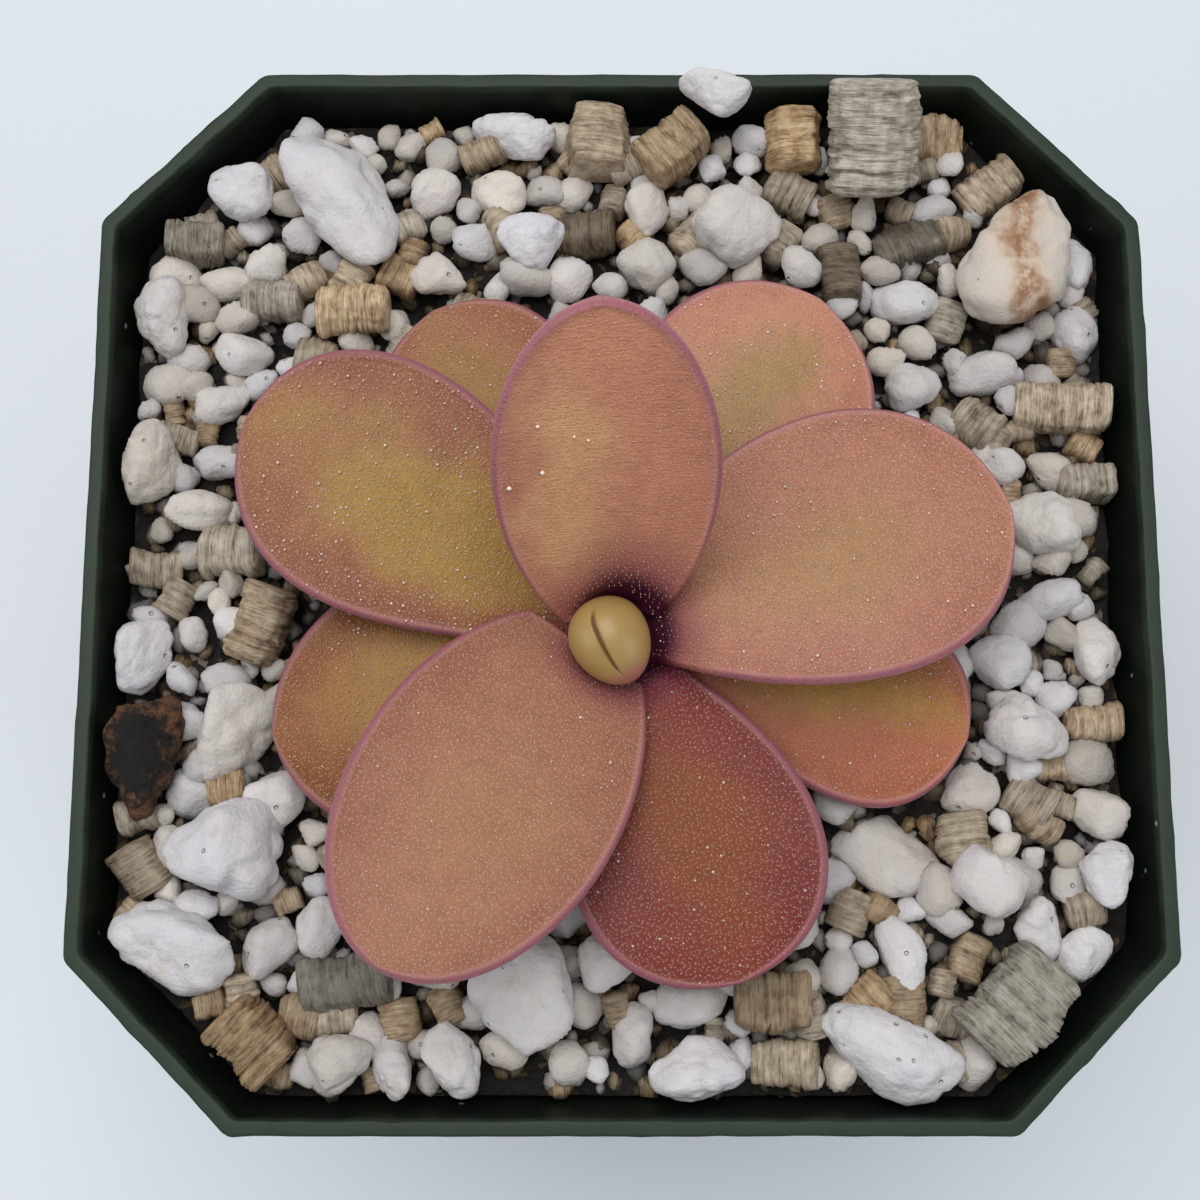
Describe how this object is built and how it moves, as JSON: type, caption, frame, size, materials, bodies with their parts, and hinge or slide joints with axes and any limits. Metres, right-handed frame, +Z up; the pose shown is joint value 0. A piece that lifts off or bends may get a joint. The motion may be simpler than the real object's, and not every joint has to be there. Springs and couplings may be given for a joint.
{
  "type": "butterwort in a nursery pot",
  "caption": "Potted butterwort: a flat rosette of broad rosy leaves beaded with sticky drops, in a small square green nursery pot filled with perlite and vermiculite.",
  "frame": {"origin": "centre of the pot's foot, at the bottom of the model", "axes": "+Z up, along the upright stem; +X to the plant's right and +Y to its back, across two flat sides of the pot"},
  "size_m": [0.076, 0.076, 0.09],
  "materials": {
    "pot_plastic": "matt moulded nursery-pot plastic, slightly dusty",
    "growing_mix": "loose crumbs of perlite and vermiculite, matt",
    "perlite": "matt, chalky, finely pitted",
    "stained_perlite": "matt, chalky, with rusty stains",
    "vermiculite": "layered flakes with a faint glitter",
    "charcoal": "matt, cracked and crumbly",
    "crown_skin": "moist, dark",
    "heart_leaf_skin": "smooth and satin",
    "leaf_rose": "fleshy and satin, beaded with sticky drops",
    "leaf_wine": "fleshy and satin, beaded with sticky drops",
    "leaf_ochre": "fleshy and satin, beaded with sticky drops"
  },
  "bodies": {
    "root": {"charcoal_01": "charcoal", "crown": "crown_skin", "growing_mix": "growing_mix", "heart_leaf": "heart_leaf_skin", "leaf_1": "leaf_rose", "leaf_2": "leaf_rose", "leaf_3": "leaf_rose", "leaf_4": "leaf_rose", "leaf_5": "leaf_wine", "leaf_6": "leaf_ochre", "leaf_7": "leaf_ochre", "leaf_8": "leaf_ochre", "leaf_9": "leaf_ochre", "perlite_01": "perlite", "perlite_02": "perlite", "perlite_03": "perlite", "perlite_04": "perlite", "perlite_05": "perlite", "perlite_06": "perlite", "perlite_07": "perlite", "perlite_08": "perlite", "perlite_09": "perlite", "perlite_10": "perlite", "perlite_11": "perlite", "perlite_12": "perlite", "perlite_13": "perlite", "perlite_14": "perlite", "perlite_15": "perlite", "perlite_16": "perlite", "perlite_17": "perlite", "perlite_18": "perlite", "perlite_19": "perlite", "perlite_20": "perlite", "perlite_21": "perlite", "perlite_22": "perlite", "perlite_23": "perlite", "perlite_24": "perlite", "pot": "pot_plastic", "stained_perlite_01": "stained_perlite", "vermiculite_01": "vermiculite", "vermiculite_02": "vermiculite", "vermiculite_03": "vermiculite", "vermiculite_04": "vermiculite", "vermiculite_05": "vermiculite", "vermiculite_06": "vermiculite", "vermiculite_07": "vermiculite", "vermiculite_08": "vermiculite", "vermiculite_09": "vermiculite", "vermiculite_10": "vermiculite", "vermiculite_11": "vermiculite", "vermiculite_12": "vermiculite"}
  },
  "joints": []
}
